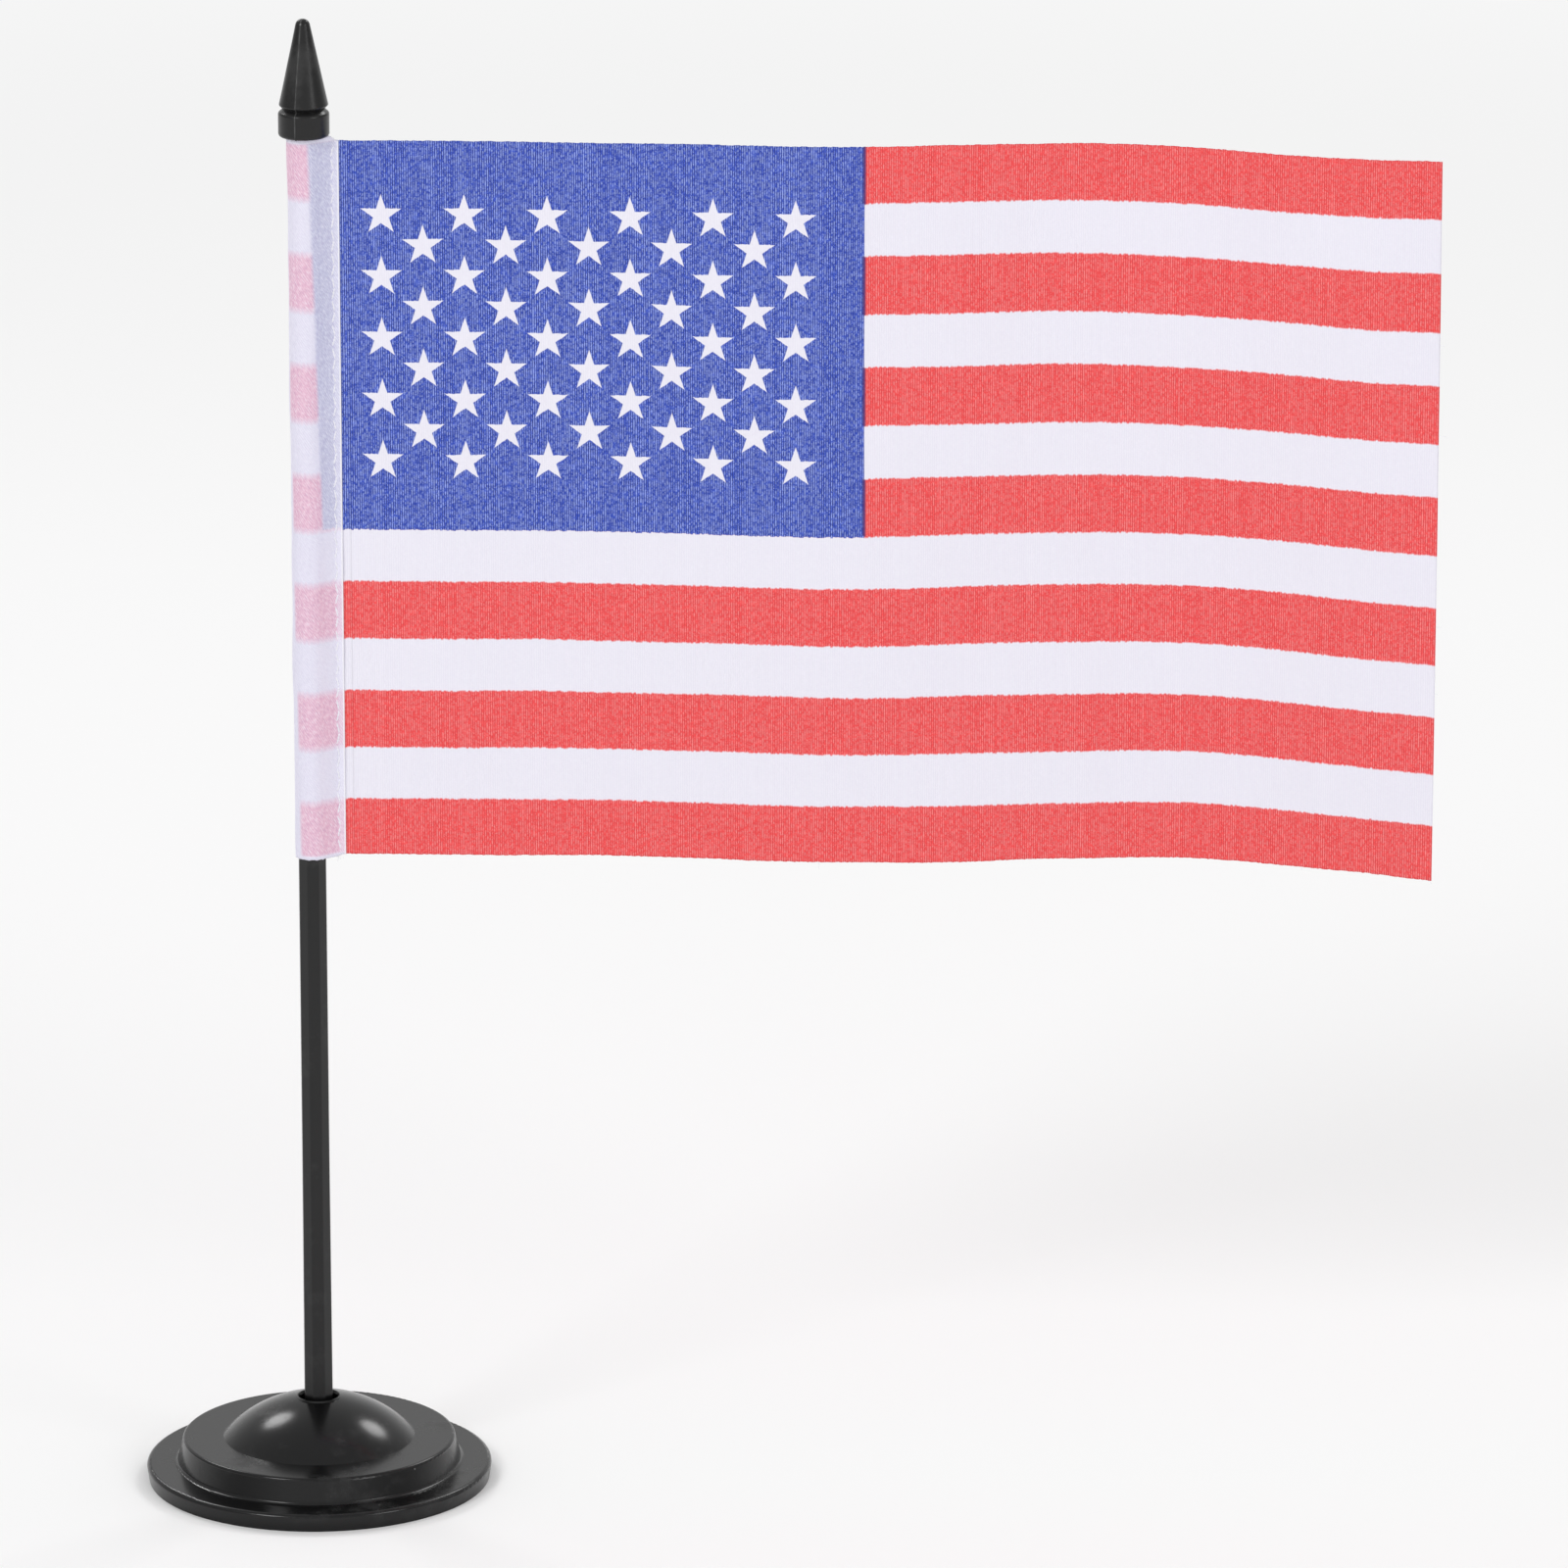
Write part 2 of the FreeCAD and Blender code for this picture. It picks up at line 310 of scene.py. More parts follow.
class Tree:
    """The nodes of one material or world."""

    def __init__(self, owner):
        owner.use_nodes = True
        owner.node_tree.nodes.clear()
        self.owner = owner

    def node(self, kind, settings, sockets, output=0):
        """Adds a node, sets its settings, then the values or links of its sockets."""
        made = self.owner.node_tree.nodes.new(kind)
        for name, value in settings.items():
            setattr(made, name, value)
        for name, value in sockets.items():
            if isinstance(value, Wire):
                self.owner.node_tree.links.new(value.socket, made.inputs[name])
            else:
                made.inputs[name].default_value = value
        return Wire(self, made.outputs[output]) if made.outputs else None

    def mix(self, share, first, second):
        """A colour between two colours."""
        opaque = [value if isinstance(value, Wire) else (*value, 1.0) for value in (first, second)]
        settings = {"data_type": "RGBA"}
        return self.node("ShaderNodeMix", settings, {0: share, 6: opaque[0], 7: opaque[1]}, 2)

    def split(self, vector):
        """The three numbers of a vector."""
        return [self.node("ShaderNodeSeparateXYZ", {}, {0: vector}, axis) for axis in range(3)]

    def join(self, x, y, z=0.0):
        """A vector of three numbers."""
        return self.node("ShaderNodeCombineXYZ", {}, {0: x, 1: y, 2: z})

    def noise(self, vector, scale, detail=2.0, roughness=0.5):
        """Smooth noise from 0 to 1."""
        sockets = {"Vector": vector, "Scale": scale, "Detail": detail, "Roughness": roughness}
        return self.node("ShaderNodeTexNoise", {"noise_dimensions": "3D"}, sockets)

    def draw(self, number):
        """One random value from 0 to 1 for each number."""
        return self.node("ShaderNodeTexWhiteNoise", {"noise_dimensions": "1D"}, {"W": number})

    def bump(self, height, distance, strength):
        """A normal from a height of 0 to 1 that stands for that distance in metres."""
        sockets = {"Height": height, "Distance": distance, "Strength": strength}
        return self.node("ShaderNodeBump", {}, sockets)

    def surface(self, sockets):
        """Ends the material with a Principled shader, and returns the material."""
        shader = self.node("ShaderNodeBsdfPrincipled", {}, sockets)
        self.node("ShaderNodeOutputMaterial", {}, {"Surface": shader})
        return self.owner


def new_finish(name):
    """The empty nodes of a new material."""
    return Tree(bpy.data.materials.new(name))


def grey(value):
    """A neutral colour."""
    return (value, value, value)


# ---------------------------------------------------------------------------------------------
# Materials
# ---------------------------------------------------------------------------------------------

def parting_line(tree, place):
    """1 on the parting line that runs down the pole's tip and collar, broken in patches, where a painted
    highlight goes.
    """
    x, y, height = tree.split(place)
    ahead_x, ahead_y = math.cos(PARTING_TURN), math.sin(PARTING_TURN)
    beside = abs(x * ahead_y - y * ahead_x)
    facing = (x * ahead_x + y * ahead_y) > 0.0
    patchy = (tree.noise(place, scale=620.0, detail=3.0) * 2.2 - 0.35).clamped()
    return beside.below(PARTING_HALF, PARTING_HALF) * facing * (height > PARTING_LOW) * patchy


def moulded_plastic(name, colour_value, gloss, shine, grain_mm, scuff, parting_highlight=False):
    """Black moulded plastic: a soft mottle, fine scratches, dust specks and rubbed patches, and on the pole
    a painted highlight down the parting line.
    """
    tree = new_finish(name)
    place = tree.node("ShaderNodeTexCoord", {}, {}, "Object")
    mottle = tree.noise(place, scale=60.0, detail=3.0)
    grain = tree.noise(place, scale=1.0 / (grain_mm * MM), detail=2.0)
    rub = tree.noise(place, scale=95.0, detail=5.0, roughness=0.62).above(0.55, gain=6.0)
    drawn_out = tree.node("ShaderNodeMapping", {}, {"Vector": place, "Scale": (1.0, 1.0, 0.06)})
    scratches = tree.noise(drawn_out, scale=900.0, detail=3.0, roughness=0.7).above(0.60, gain=5.0)
    to_speck = tree.node(
        "ShaderNodeTexVoronoi", {"feature": "F1"}, {"Vector": place, "Scale": 230.0, "Randomness": 1.0})
    chance = tree.noise(place, scale=41.0, detail=1.0)
    specks = to_speck.below(0.055, softness=0.03) * (chance > 0.56)
    worn = (rub * scuff).clamped()
    base = tree.mix(mottle * 0.5, colour_value, tuple(1.5 * part for part in colour_value))
    base = tree.mix(worn * 0.20, base, grey(0.10))
    base = tree.mix(specks * 0.45, base, grey(0.30))
    if parting_highlight:
        # A lighter line down the parting line: a painted highlight of its ridge
        base = tree.mix(parting_line(tree, place) * 0.75, base, grey(0.085))
    rough = (gloss + mottle * 0.06 + worn * 0.22 + scratches * 0.14 + specks * 0.3).clamped()
    height = grain * 0.5 + scratches * -0.25 + specks * 0.5
    return tree.surface({
        "Base Color": base,
        "Roughness": rough,
        "IOR": 1.52,
        "Specular IOR Level": shine,
        "Normal": tree.bump(height, 0.012 * MM, 0.5),
    })


def star_lattice(across, down, first_x, first_y, columns, rows):
    """1 inside the five-pointed stars of one even lattice. Lengths are in millimetres."""
    column = ((across - (first_x - STAR_STEP_X / 2)) / STAR_STEP_X).floor()
    row = ((down - (first_y - STAR_STEP_Y / 2)) / STAR_STEP_Y).floor()
    x = across - (column * STAR_STEP_X + first_x)
    y = (row * STAR_STEP_Y + first_y) - down
    fifth = 2 * math.pi / 5
    angle = x.math("ARCTAN2", x, y)
    folded = abs((angle + fifth / 2) % fifth - fifth / 2)
    reach = (x * x + y * y) ** 0.5
    inner = STAR_RADIUS * math.cos(fifth) / math.cos(fifth / 2)
    side_x = inner * math.sin(fifth / 2)
    side_y = STAR_RADIUS - inner * math.cos(fifth / 2)
    side = math.hypot(side_x, side_y)
    along = reach * folded.math("COSINE", folded)
    beside = reach * folded.math("SINE", folded)
    distance = along * (side_x / side) + beside * (side_y / side)
    inside = distance.below(STAR_RADIUS * side_x / side, STAR_EDGE)
    in_columns = (column > -0.5) * (column < columns - 0.5)
    in_rows = (row > -0.5) * (row < rows - 0.5)
    return inside * in_columns * in_rows


class ClothPrint:
    """The cloth's place in millimetres, its threads, the painted highlight and shade of its ribs, and the
    masks of its print.
    """

    def __init__(self, tree, sizes):
        place = tree.node("ShaderNodeAttribute", {"attribute_name": "cloth_mm"}, {}, "Vector")
        along, height, _ = tree.split(place)
        rib_mm = sizes.rib / MM
        from_top = HOIST / MM - height
        self.tree = tree
        self.along = along
        self.height = height
        rib_number = (along / rib_mm).floor()
        self.crown = along.ridges(rib_mm)
        tooth = tree.draw(rib_number) - 0.5
        tone = tree.draw(rib_number + 0.37) - 0.5
        # Each rib takes the ink a little higher or lower than the next
        self.down = from_top - tooth * 0.26
        self.neat_down = from_top - tooth * 0.12
        yarn_place = tree.join(rib_number * 7.31, height / 0.75)
        gap_place = tree.join(rib_number * 5.17, height / 0.95, 11.0)
        fuzz_place = tree.join(along / 0.15, height / 0.35, 7.0)
        self.yarn = tree.noise(yarn_place, scale=1.0, detail=2.0, roughness=0.6) + tone * 0.08
        self.gap = tree.noise(gap_place, scale=1.0, detail=2.0, roughness=0.5) - tone * 0.06
        self.fuzz = tree.noise(fuzz_place, scale=1.0, detail=1.0)

    def stripes(self):
        """1 on the red stripes, which are a hair wider than the white ones."""
        return self.from_red().below(RED_SHARE, STRIPE_SOFTNESS)

    def from_red(self):
        """How far the place is from the middle of the nearest red stripe, in stripes."""
        return abs((self.down / STRIPE + 0.5) % 2.0 - 1.0)

    def canton(self, across):
        """1 on the canton, which starts behind the sleeve's cut edge."""
        left = 1.0 - across.below(CANTON_LEFT, PRINT_EDGE)
        rows = self.down.below(CANTON_STRIPES * STRIPE + CANTON_SPREAD, PRINT_EDGE)
        return across.below(CANTON_WIDTH, PRINT_EDGE) * left * rows

    def stars(self, across):
        """1 on the fifty stars, which stand in two lattices that are half a step apart."""
        outer = star_lattice(
            across, self.neat_down, STAR_FIRST_X, STAR_FIRST_Y, STAR_COLUMNS, STAR_ROWS)
        inner = star_lattice(
            across, self.neat_down, STAR_FIRST_X + STAR_STEP_X / 2, STAR_FIRST_Y + STAR_STEP_Y / 2,
            STAR_COLUMNS - 1, STAR_ROWS - 1)
        return outer + inner

    def threads(self, ink, light, dark, strength):
        """Ink on ribbed cloth, with a painted highlight on the crowns and painted shade in the gaps between
        them, both varied at random along the ribs.
        """
        # The crowns are lightened toward light as a painted highlight, and the gaps between ribs darkened
        # toward dark as painted shade
        bright = (self.crown ** 1.9) * self.yarn.contrast(gain=5.0, middle=0.52)
        gap_shade = ((1.0 - self.crown) ** 1.4) * self.gap.contrast(gain=3.6, middle=0.8)
        shown = self.tree.mix((bright * strength).clamped(), ink, light)
        shown = self.tree.mix((gap_shade * strength).clamped(), shown, dark)
        speckle = ((self.fuzz - 0.55) * 2.2 * strength).clamped()
        return self.tree.mix(speckle, shown, light)

    def relief(self):
        """Height of the cloth's ribs and threads, from 0 to 1."""
        return (self.crown ** 0.6) * 0.7 + self.fuzz * 0.3

    def finish(self, ink, relief, strength):
        """Ends the cloth's material with its ink and its relief."""
        return self.tree.surface({
            "Base Color": ink,
            "Roughness": (0.60 + self.fuzz * 0.2).clamped(),
            "Specular IOR Level": 0.3,
            "Sheen Weight": 0.12,
            "Sheen Roughness": 0.4,
            "Normal": self.tree.bump(relief, 0.05 * MM, strength),
        })


def printed_face(sizes, colours):
    """The printed front: stripes, canton and stars on ribbed polyester, with painted highlight and shade on
    its ribs.
    """
    tree = new_finish("printed_cloth_front")
    cloth = ClothPrint(tree, sizes)
    across = cloth.along - 2.0 * sizes.sleeve_flat / MM
    red = cloth.threads(tuple(colours.red), *RED_RIB_HIGHLIGHT_AND_SHADE, strength=1.0)
    blue = cloth.threads(tuple(colours.blue), *BLUE_RIB_HIGHLIGHT_AND_SHADE, strength=1.0)
    white = cloth.threads(tuple(colours.white), *WHITE_RIB_HIGHLIGHT_AND_SHADE, strength=0.7)
    red_rows = cloth.stripes()
    canton = cloth.canton(across)
    # Red and blue ink lie over each other in a thin dark line down the canton's edge
    overlap = across.below(CANTON_WIDTH + 0.25, PRINT_EDGE)
    overlap = overlap * (1.0 - across.below(CANTON_WIDTH - 0.35, PRINT_EDGE))
    overlap = overlap * red_rows * cloth.down.below(CANTON_STRIPES * STRIPE, PRINT_EDGE)
    ink = tree.mix(red_rows, white, red)
    ink = tree.mix(canton, ink, blue)
    ink = tree.mix(overlap * 0.8, ink, RED_UNDER_BLUE)
    ink = tree.mix(canton * cloth.stars(across), ink, white)
    return cloth.finish(ink, cloth.relief(), 0.7)


def panel_back(cloth, across, white):
    """The ink on the back of the panel, where the print shows a little paler, with painted highlight and
    shade on its ribs.
    """
    tree = cloth.tree
    red = cloth.threads(BACK_RED, *BACK_RED_RIB_HIGHLIGHT_AND_SHADE, strength=0.6)
    blue = cloth.threads(BACK_BLUE, *BACK_BLUE_RIB_HIGHLIGHT_AND_SHADE, strength=0.6)
    canton = cloth.canton(across)
    ink = tree.mix(cloth.stripes(), white, red)
    ink = tree.mix(canton, ink, blue)
    return tree.mix(canton * cloth.stars(across), ink, white)


def turned_end(cloth, sleeve_mm, inset_mm):
    """The ink on the turned end, with the print under it pale and soft, and a painted highlight on its
    twill's ridges and painted shade between them.
    """
    tree = cloth.tree
    hoist_mm = HOIST / MM
    under = -1.0 * cloth.along
    share_down = cloth.down / hoist_mm
    # The cloth is folded a little askew, so what lies under it shifts down the hoist
    canton_left = -6.7 + share_down * 4.4
    printed_end = ((under + sleeve_mm - share_down * 2.6) / 0.7).clamped()
    in_height = cloth.height.below(hoist_mm - 0.1, 0.4) * (1.0 - cloth.height.below(0.3, 0.4))
    pink = cloth.from_red().below(0.5, 0.16) * printed_end * in_height
    blue_rows = cloth.down.below(CANTON_STRIPES * STRIPE, 0.4)
    blue = (1.0 - under.below(canton_left, 0.7)) * blue_rows * in_height
    ink = tree.mix(pink, TURNED_CLOTH, RED_THROUGH)
    ink = tree.mix(blue, ink, BLUE_THROUGH)
    across_twill = cloth.along - cloth.height * TWILL_LEAN
    along_twill = cloth.along * TWILL_LEAN + cloth.height
    ridge = across_twill.ridges(TWILL_PITCH)
    broken_place = tree.join(across_twill / 0.26, along_twill / 1.1, 21.0)
    broken = (tree.noise(broken_place, scale=1.0, detail=2.0) - 0.5) * 2.6
    # Painted highlight on the twill's ridges and painted shade between them, broken at random
    light = (ridge * 0.5 + broken).clamped()
    dark = ((1.0 - ridge) * 0.4 - broken).clamped()
    shown = 0.35 + 0.65 * (pink + blue).clamped()
    ink = tree.mix(light * shown * 0.7, ink, TWILL_HIGHLIGHT)
    ink = tree.mix(dark * shown * 0.5, ink, TWILL_SHADE)
    ink = tree.mix(cloth.along.below(inset_mm - 0.1, 0.5) * 0.38, ink, HEM_COLOUR)
    ink = tree.mix(cloth.along.below(MELTED_WIDTH, 0.12) * 0.8, ink, MELTED_COLOUR)
    return ink, ridge


def reverse_face(sizes, colours):
    """The cloth's back, and the turned end that comes round to the front."""
    tree = new_finish("printed_cloth_back")
    cloth = ClothPrint(tree, sizes)
    sleeve_mm = sizes.sleeve_flat / MM
    folded = cloth.along.below(sleeve_mm, 0.05)
    back = panel_back(cloth, cloth.along - 2.0 * sleeve_mm, tuple(colours.white))
    turned, ridge = turned_end(cloth, sleeve_mm, sizes.stitch_inset / MM)
    relief = cloth.relief() * (1.0 - folded) + ridge * folded
    return cloth.finish(tree.mix(folded, back, turned), relief, 0.6)


def heat_cut_edge(colours):
    """The bright melted rim of the cloth."""
    tree = new_finish("heat_cut_edge")
    place = tree.node("ShaderNodeTexCoord", {}, {}, "Object")
    beads = tree.noise(place, scale=2600.0, detail=2.0)
    return tree.surface({
        "Base Color": tree.mix(beads, tuple(colours.white), MELTED_RIM),
        "Roughness": 0.35 + beads * 0.2,
        "Normal": tree.bump(beads, 0.03 * MM, 0.6),
    })


def spun_thread(colours):
    """White polyester thread with a soft shine."""
    tree = new_finish("spun_thread")
    place = tree.node("ShaderNodeTexCoord", {}, {}, "Object")
    fibres = tree.noise(place, scale=5200.0, detail=3.0, roughness=0.7)
    return tree.surface({
        "Base Color": tree.mix(fibres, tuple(colours.thread), THREAD_SHADE),
        "Roughness": 0.42 + fibres * 0.25,
        "Sheen Weight": 0.2,
        "Normal": tree.bump(fibres, 0.02 * MM, 0.7),
    })


def pale_floor(colours, stage):
    """A plain matt floor that fades into the backdrop."""
    tree = new_finish("pale_floor")
    place = tree.node("ShaderNodeTexCoord", {}, {}, "Object")
    x, y, _ = tree.split(place)
    cloud = tree.noise(place, scale=2.0, detail=2.0)
    tint = tuple(colours.floor)
    matt = tree.node("ShaderNodeBsdfPrincipled", {}, {
        "Base Color": tree.mix(cloud, tint, tuple(0.985 * part for part in tint)),
        "Roughness": 0.85,
        "Specular IOR Level": 0.2,
    })
    haze = tree.node("ShaderNodeEmission", {}, {"Color": (1.0, 1.0, 1.0, 1.0), "Strength": stage.walls})
    far = (((x * x + y * y) ** 0.5 - stage.haze) / stage.haze).clamped()
    surface = tree.node("ShaderNodeMixShader", {}, {0: far, 1: matt, 2: haze})
    tree.node("ShaderNodeOutputMaterial", {}, {"Surface": surface})
    return tree.owner


def pale_studio(stage):
    """Pale walls before and behind the stand, greyer ones beside it, and a darker ceiling."""
    tree = Tree(bpy.data.worlds.new("pale_studio"))
    sideways, _, height = tree.split(tree.node("ShaderNodeTexCoord", {}, {}, "Generated"))
    beside = ((abs(sideways) - 0.45) / 0.45).clamped() * height.below(0.5, 0.5)
    overhead = ((height - 0.06) / 0.40).clamped()
    light = tree.mix(beside, grey(stage.walls), grey(stage.sides))
    light = tree.mix(overhead, light, grey(stage.ceiling))
    background = tree.node("ShaderNodeBackground", {}, {"Color": light})
    tree.node("ShaderNodeOutputWorld", {}, {"Surface": background})
    return tree.owner


# ---------------------------------------------------------------------------------------------
# Meshes
# ---------------------------------------------------------------------------------------------

def mesh_object(name, vertices, faces, materials, face_materials=None):
    """An object from arrays of points and faces, smooth shaded."""
    mesh = bpy.data.meshes.new(name)
    mesh.from_pydata([tuple(map(float, point)) for point in vertices], [], faces)
    for material in materials:
        mesh.materials.append(material)
    if face_materials is not None:
        mesh.polygons.foreach_set("material_index", face_materials)
    mesh.polygons.foreach_set("use_smooth", [True] * len(mesh.polygons))
    mesh.update()
    made = bpy.data.objects.new(name, mesh)
    bpy.context.scene.collection.objects.link(made)
    return made


def smoothstep(low, high, value):
    """0 below low, 1 above high, and smooth between."""
    share = np.clip((value - low) / (high - low), 0.0, 1.0)
    return share * share * (3.0 - 2.0 * share)


def soft_noise(along, height, along_scale, up_scale):
    """Smooth noise from -1 to 1 along one row of the cloth."""
    return np.array([noise.noise(Vector((spot * along_scale, height * up_scale, 1.7))) for spot in along])


def wave(share, lift, sizes):
    """How far the cloth waves out of its plane. share runs from the seam to the fly, lift up the hoist."""
    phase = 2.0 * math.pi * sizes.wave_count * share + 1.5 * (lift - 0.5) * share
    main = sizes.wave_depth * share ** 1.3 * np.sin(phase)
    ripple = 0.11 * sizes.wave_depth * share * np.sin(11.0 * share + 2.2 * lift + 0.6)
    return main + ripple


def sleeve_section(sizes, seam_x, wrap_r):
    """The line of the cloth from the turned end's cut edge, round the pole and back to the seam."""
    gap = 1.1 * sizes.cloth
    turn = math.acos(wrap_r / seam_x)
    angles = np.linspace(-turn, turn - 2.0 * math.pi, ARC_POINTS)
    arc = np.stack([wrap_r * np.cos(angles), wrap_r * np.sin(angles)], axis=1)
    corners = np.concatenate([
        [[CUT_EDGE_X, -gap], [seam_x, -gap]],
        arc,
        [[seam_x, 0.0], [CUT_EDGE_X + PANEL_START * MM, 0.0]],
    ])
    steps = np.concatenate([[0.0], np.cumsum(np.linalg.norm(np.diff(corners, axis=0), axis=1))])
    fine = np.linspace(0.0, steps[-1], SECTION_POINTS)
    line = np.stack([np.interp(fine, steps, corners[:, axis]) for axis in range(2)], axis=1)
    for _ in range(SMOOTHING_PASSES):
        line[1:-1] = 0.5 * line[1:-1] + 0.25 * (line[:-2] + line[2:])
    return fine, line


def cloth_line(sizes):
    """The cloth's line from above: x, y, the share from seam to fly, and the run of the flat cloth."""
    seam_x = CUT_EDGE_X - sizes.stitch_inset
    run, line = sleeve_section(sizes, seam_x, SLEEVE_HIGH.y - 0.5 * sizes.cloth)
    start_x, start_y = line[-1]
    fly_length = FLY_X - start_x
    steps = int(fly_length / sizes.rib)
    panel_x = start_x + fly_length * (np.arange(1, steps + 1) / steps)
    section = np.arange(0.0, run[-1], 0.5 * sizes.rib)
    x = np.concatenate([np.interp(section, run, line[:, 0]), [start_x], panel_x])
    y = np.concatenate([np.interp(section, run, line[:, 1]), [start_y], 0.0 * panel_x])
    share = np.clip((x - seam_x) / (FLY_X - seam_x), 0.0, 1.0)
    share = np.where(np.arange(len(x)) >= len(section), share, 0.0)
    y = y + wave(share, 0.5, sizes)
    travelled = np.concatenate([[0.0], np.cumsum(np.hypot(np.diff(x), np.diff(y)))])
    loop_end = travelled[len(section)] - (CUT_EDGE_X + PANEL_START * MM - seam_x)
    inset, around = sizes.stitch_inset, 2.0 * sizes.sleeve_flat
    along = np.interp(
        travelled,
        [0.0, inset, loop_end, travelled[-1]],
        [0.0, inset, around - inset, around + sizes.visible_fly],
    )
    return x, y, share, along


def cloth_lifts():
    """The heights of the grid's rows as shares of the hoist, with a narrow row at either edge."""
    even = np.linspace(0.0, 1.0, CLOTH_ROWS + 1)
    narrow = 0.2 / CLOTH_ROWS
    return np.sort(np.concatenate([even, [narrow, 1.0 - narrow]]))


def edge_nicks(rng, count):
    """Small random steps of a cut edge, up or down."""
    return np.array([rng.uniform(-1.0, 1.0) for _ in range(count)]) * EDGE_NICK * MM


def outward_of(x, y):
    """Unit vectors square to a line, on the side that the print isn't on."""
    tangent = np.stack([np.gradient(x), np.gradient(y)], axis=1)
    tangent /= np.linalg.norm(tangent, axis=1)[:, None]
    return np.stack([-tangent[:, 1], tangent[:, 0]], axis=1)


def near_seams(sizes, along):
    """1 at the seam and less away from it, on both layers of the cloth that it goes through."""
    inset = sizes.stitch_inset
    turned = np.exp(-np.abs(along - inset) / (1.3 * MM))
    return turned + np.exp(-np.abs(along - (2.0 * sizes.sleeve_flat - inset)) / (2.2 * MM))


def dents(sizes, along, share, height):
    """How far one row of the cloth is pushed out round the pole, at the seam and on the panel."""
    folded = along / sizes.sleeve_flat
    in_loop = smoothstep(0.25, 0.45, folded) * (1.0 - smoothstep(1.6, 1.8, folded))
    swell = np.clip(soft_noise(along, height, 160.0, 95.0) + 0.3, 0.0, 1.0)
    swell = in_loop * (SLEEVE_SLACK + SLEEVE_SWELL * swell) * MM
    pucker = SEAM_PUCKER * MM * near_seams(sizes, along)
    pucker = pucker * math.cos(2.0 * math.pi * height / sizes.stitch_pitch)
    lifted = CUT_EDGE_LIFT * MM * np.clip(1.0 - along / sizes.stitch_inset, 0.0, 1.0)
    lifted *= 1.0 + noise.noise(Vector((3.1, height * 130.0, 9.0)))
    crumple = soft_noise(along, height, 46.0, 30.0) * sizes.crumple
    crumple += soft_noise(along, height, 120.0, 70.0) * 0.3 * sizes.crumple
    return swell + pucker + lifted + smoothstep(0.01, 0.12, share) * crumple


def flag_surface(sizes):
    """The cloth's middle surface as a grid: places in metres, and cloth coordinates in millimetres."""
    x, y, share, along = cloth_line(sizes)
    outward = outward_of(x, y)
    folded = along / sizes.sleeve_flat
    rise = np.where(folded < 1.0, smoothstep(0.02, 0.16, folded), np.clip(2.0 - folded, 0.0, 1.0))
    rng = random.Random(7)
    top_nicks = edge_nicks(rng, len(x))
    low_nicks = edge_nicks(rng, len(x))
    lifts = cloth_lifts()
    places = np.zeros((len(lifts), len(x), 3))
    cloth = np.zeros((len(lifts), len(x), 3))
    for row, lift in enumerate(lifts):
        height = lift * HOIST
        row_y = y + wave(share, lift, sizes) - wave(share, 0.5, sizes)
        push = dents(sizes, along, share, height)
        top = (rise * sizes.strip_rise + top_nicks) * smoothstep(0.9, 1.0, lift)
        low = (rise * -0.4 * sizes.strip_rise + low_nicks) * (1.0 - smoothstep(0.0, 0.1, lift))
        sag = sizes.droop * share ** 1.7 * (1.0 + 0.18 * (1.0 - lift))
        sag = sag + SAG_RIPPLE * MM * share * np.sin(5.3 * share + 0.8)
        places[row, :, 0] = x + outward[:, 0] * push
        places[row, :, 1] = row_y + outward[:, 1] * push
        places[row, :, 2] = FLAG_BOTTOM + height + top + low - sag
        cloth[row, :, 0] = along / MM
        cloth[row, :, 1] = (height + top + low) / MM
    return places, cloth


def grid_normals(places):
    """Unit normals of a grid of points, on the side that the print isn't on."""
    along = np.gradient(places, axis=1)
    up = np.gradient(places, axis=0)
    normals = np.cross(up, along)
    return normals / np.linalg.norm(normals, axis=2)[:, :, None]


def grid_faces(rows, columns, offset, flip):
    """Quads over a grid of points."""
    faces = []
    for row in range(rows - 1):
        for column in range(columns - 1):
            start = offset + row * columns + column
            quad = (start, start + 1, start + columns + 1, start + columns)
            faces.append(quad[::-1] if flip else quad)
    return faces


def border(rows, columns):
    """The indices round the edge of a grid, in order."""
    bottom = list(range(columns))
    right = [row * columns + columns - 1 for row in range(1, rows)]
    top = [(rows - 1) * columns + column for column in range(columns - 2, -1, -1)]
    left = [row * columns for row in range(rows - 2, 0, -1)]
    return bottom + right + top + left


def flag_cloth(sizes, colours):
    """The whole cut of cloth in one piece: turned end, sleeve and waving panel."""
    places, cloth = flag_surface(sizes)
    rows, columns, _ = places.shape
    half = 0.5 * sizes.cloth * grid_normals(places)
    front = (places - half).reshape(-1, 3)
    back = (places + half).reshape(-1, 3)
    count = rows * columns
    faces = grid_faces(rows, columns, 0, False) + grid_faces(rows, columns, count, True)
    kinds = [0] * (len(faces) // 2) + [1] * (len(faces) // 2)
    edge = border(rows, columns)
    for here, after in zip(edge, edge[1:] + edge[:1]):
        faces.append((after, here, here + count, after + count))
        kinds.append(2)
    materials = [printed_face(sizes, colours), reverse_face(sizes, colours), heat_cut_edge(colours)]
    made = mesh_object("flag_cloth", np.concatenate([front, back]), faces, materials, kinds)
    spots = np.concatenate([cloth.reshape(-1, 3), cloth.reshape(-1, 3)]).astype(np.float32)
    layer = made.data.attributes.new("cloth_mm", "FLOAT_VECTOR", "POINT")
    layer.data.foreach_set("vector", spots.ravel())
    return made


